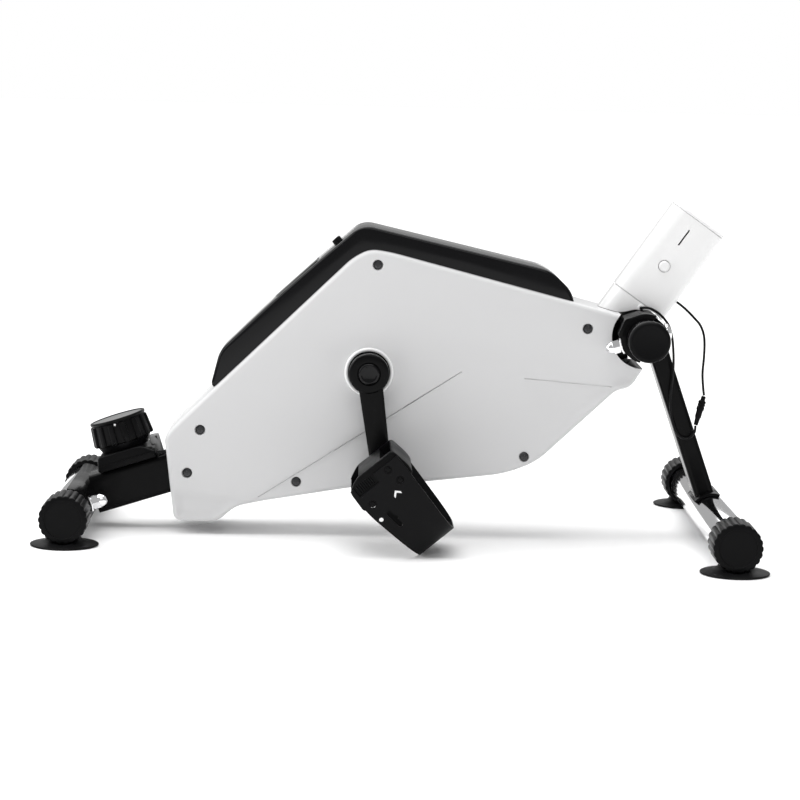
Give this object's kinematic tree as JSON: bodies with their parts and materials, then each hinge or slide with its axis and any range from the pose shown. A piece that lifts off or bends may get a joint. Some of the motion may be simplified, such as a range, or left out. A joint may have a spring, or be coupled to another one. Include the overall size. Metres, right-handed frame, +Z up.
{
  "type": "magnetic pedal exerciser",
  "caption": "Compact exercise bike with an enclosed magnetic flywheel, strapped pedals, chrome stabilisers, a tension knob and the stub of a mast.",
  "frame": {"origin": "centre of the footprint, at floor level", "axes": "+Z up, +X towards the mast end, +Y towards the rider's left-hand side"},
  "size_m": [0.713, 0.483, 0.3431],
  "materials": {
    "frame_paint": "satin black paint",
    "chrome_plate": "bright plated steel",
    "matte_black": "matte moulded plastic",
    "white_shell": "glossy white plastic or paint",
    "gloss_black": "piano-black plastic",
    "black_rubber": "soft matte rubber",
    "bare_steel": "plain turned steel",
    "wheel_iron": "machined cast iron"
  },
  "bodies": {
    "stand": {"main_frame": "frame_paint", "front_leg": "frame_paint", "rear_stabiliser_tube": "chrome_plate", "front_stabiliser_tube": "chrome_plate", "cross_tube": "chrome_plate", "rear_saddle_bolt_right": "chrome_plate", "rear_saddle_bolt_left": "chrome_plate", "front_saddle_bolt_right": "chrome_plate", "front_saddle_bolt_left": "chrome_plate", "rear_end_cap_right": "matte_black", "rear_end_cap_left": "matte_black", "front_end_cap_right": "matte_black", "front_end_cap_left": "matte_black", "cross_tube_cap_right": "matte_black", "cross_tube_cap_left": "matte_black", "knob_housing": "matte_black", "lead_connector": "matte_black", "casing_shell_right": "white_shell", "casing_shell_left": "white_shell", "mast_neck": "white_shell", "mast_tube": "white_shell", "mast_plug": "white_shell", "console_cover": "gloss_black", "console_lens": "gloss_black", "rear_foot_right": "black_rubber", "rear_foot_left": "black_rubber", "front_foot_right": "black_rubber", "front_foot_left": "black_rubber", "drive_belt": "black_rubber", "brake_cable": "black_rubber", "sensor_lead_upper": "black_rubber", "sensor_lead_lower": "black_rubber", "leg_bolt_right": "bare_steel", "leg_bolt_left": "bare_steel", "casing_screw_1": "bare_steel", "casing_screw_2": "bare_steel", "casing_screw_3": "bare_steel", "casing_screw_4": "bare_steel", "casing_screw_5": "bare_steel", "casing_screw_6": "bare_steel", "crank_bearing_right": "bare_steel", "crank_bearing_left": "bare_steel"},
    "crankset": {"crank_axle": "bare_steel", "crank_right": "frame_paint", "crank_left": "frame_paint", "crank_cap_right": "matte_black", "crank_cap_left": "matte_black", "drive_pulley": "matte_black", "pedal_spindle_right": "bare_steel", "pedal_spindle_left": "bare_steel"},
    "right_pedal_set": {"pedal_right": "matte_black", "pedal_strap_right": "black_rubber"},
    "left_pedal_set": {"pedal_left": "matte_black", "pedal_strap_left": "black_rubber"},
    "flywheel_set": {"flywheel": "wheel_iron", "flywheel_axle": "bare_steel"},
    "knob_set": {"tension_knob": "matte_black"},
    "magnet_set": {"magnet_carrier": "bare_steel"},
    "console_key": {"console_button": "gloss_black"},
    "mast_key": {"mast_button": "white_shell"}
  },
  "joints": [
    {"name": "crank_spin", "type": "hinge", "parent": "stand", "child": "crankset", "pos_m": [-0.0285, 0, 0.168], "axis": [0, 1, 0], "continuous": true},
    {"name": "right_pedal_spin", "type": "hinge", "parent": "crankset", "child": "right_pedal_set", "pos_m": [-0.01401, -0.122, 0.07108], "axis": [0, 1, 0], "continuous": true},
    {"name": "left_pedal_spin", "type": "hinge", "parent": "crankset", "child": "left_pedal_set", "pos_m": [-0.04299, 0.122, 0.26492], "axis": [0, 1, 0], "continuous": true},
    {"name": "flywheel_spin", "type": "hinge", "parent": "stand", "child": "flywheel_set", "pos_m": [0.097, 0, 0.196], "axis": [0, 1, 0], "continuous": true},
    {"name": "knob_turn", "type": "hinge", "parent": "stand", "child": "knob_set", "pos_m": [-0.27669, 0, 0.08904], "axis": [0.3044, 0, -0.9526], "range_deg": [0, 300]},
    {"name": "magnet_swing", "type": "hinge", "parent": "stand", "child": "magnet_set", "pos_m": [0.04851, 0, 0.15122], "axis": [0, 1, 0], "range_deg": [0, 7.5]},
    {"name": "console_press", "type": "slide", "parent": "stand", "child": "console_key", "axis": [0.6794, 0, -0.7337], "range_m": [0, 0.0015], "stiffness_N_per_m": 600},
    {"name": "mast_press", "type": "slide", "parent": "stand", "child": "mast_key", "axis": [0, 1, 0], "range_m": [0, 0.004], "stiffness_N_per_m": 1500}
  ],
  "couplings": [
    {"joint": "flywheel_spin", "follows": "crank_spin", "ratio": 5},
    {"joint": "magnet_swing", "follows": "knob_turn", "ratio": 0.025}
  ]
}
